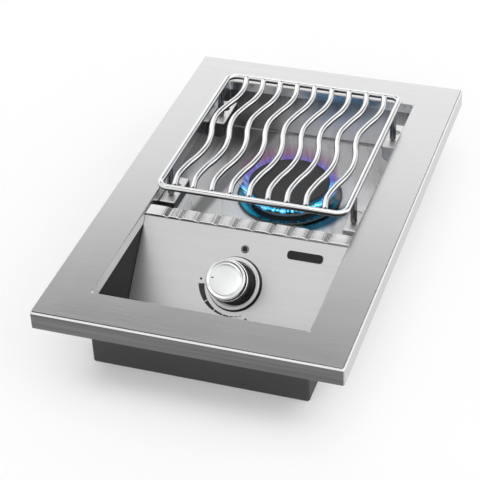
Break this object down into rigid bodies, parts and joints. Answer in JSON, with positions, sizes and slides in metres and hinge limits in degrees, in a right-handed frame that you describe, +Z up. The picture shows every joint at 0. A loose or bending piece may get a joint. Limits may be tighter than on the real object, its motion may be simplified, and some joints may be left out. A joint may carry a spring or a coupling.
{
  "type": "built in side burner",
  "caption": "Drop-in outdoor gas side burner: wide steel frame, sunken bowl with a round burner, grate of wavy rods, sloping control panel with one knob, dark casing below.",
  "frame": {"origin": "under the middle of the unit, level with the underside of its casing", "axes": "+X to the right seen from the side with the knob, +Y away from the knob along the long side, +Z up"},
  "size_m": [0.368, 0.5976, 0.1232],
  "materials": {
    "satin_steel": "satin",
    "polished_steel": "polished",
    "chrome": "polished",
    "grey_paint": "matt",
    "black_enamel": "matt enamel",
    "black_plastic": "gloss",
    "cast_iron": "enamelled",
    "cast_aluminium": "cast",
    "brass": "machined",
    "ceramic": "glazed",
    "grey_plastic": "satin"
  },
  "bodies": {
    "housing": {"top_frame": "satin_steel", "casing": "grey_paint", "burner_bowl": "polished_steel", "vent_strip": "satin_steel", "control_panel": "satin_steel", "trough_liner": "satin_steel", "grate_bracket_front_left": "polished_steel", "grate_bracket_front_right": "polished_steel", "grate_bracket_back_left": "polished_steel", "grate_bracket_back_right": "polished_steel", "burner_base": "cast_iron", "burner_crown": "cast_aluminium", "igniter_electrode": "ceramic", "mixing_tube": "cast_aluminium", "valve_orifice": "brass", "gas_inlet": "brass", "bezel_base": "black_plastic", "bezel_face": "chrome", "gas_valve": "cast_aluminium", "spark_box": "black_plastic", "valve_screw_left": "satin_steel", "valve_screw_right": "satin_steel", "indicator_ring": "grey_plastic", "indicator_lens": "black_plastic", "plain_plate": "black_plastic"},
    "grate": {"grate_frame_rod": "chrome", "grate_wave_rod_1": "chrome", "grate_wave_rod_2": "chrome", "grate_wave_rod_3": "chrome", "grate_wave_rod_4": "chrome", "grate_wave_rod_5": "chrome", "grate_wave_rod_6": "chrome", "grate_wave_rod_7": "chrome", "grate_wave_rod_8": "chrome", "grate_wave_rod_9": "chrome", "grate_leg_front_left": "chrome", "grate_leg_front_right": "chrome", "grate_leg_back_left": "chrome", "grate_leg_back_right": "chrome"},
    "cap": {"burner_cap": "black_enamel"},
    "shutter": {"air_shutter": "satin_steel"},
    "push_plate": {"push_collar": "satin_steel"},
    "knob": {"valve_stem": "brass", "knob_grip": "black_plastic", "knob_ring": "chrome", "knob_cap": "chrome"}
  },
  "joints": [
    {"name": "knob_push", "type": "slide", "parent": "housing", "child": "push_plate", "axis": [0, 0.7193, -0.6947], "range_m": [0, 0.0025], "stiffness_N_per_m": 600, "springref_m": -0.002},
    {"name": "knob_turn", "type": "hinge", "parent": "push_plate", "child": "knob", "pos_m": [0, -0.12289, 0.0409], "axis": [0, -0.7193, 0.6947], "range_deg": [-90, 115]},
    {"name": "grate_lift", "type": "slide", "parent": "housing", "child": "grate", "axis": [0, 0, 1], "range_m": [0, 0.1]},
    {"name": "burner_cap_lift", "type": "slide", "parent": "housing", "child": "cap", "axis": [0, 0, 1], "range_m": [0, 0.06]},
    {"name": "air_shutter_turn", "type": "hinge", "parent": "housing", "child": "shutter", "pos_m": [0, -0.0755, 0.0106], "axis": [0, 1, 0], "range_deg": [0, 60]}
  ]
}
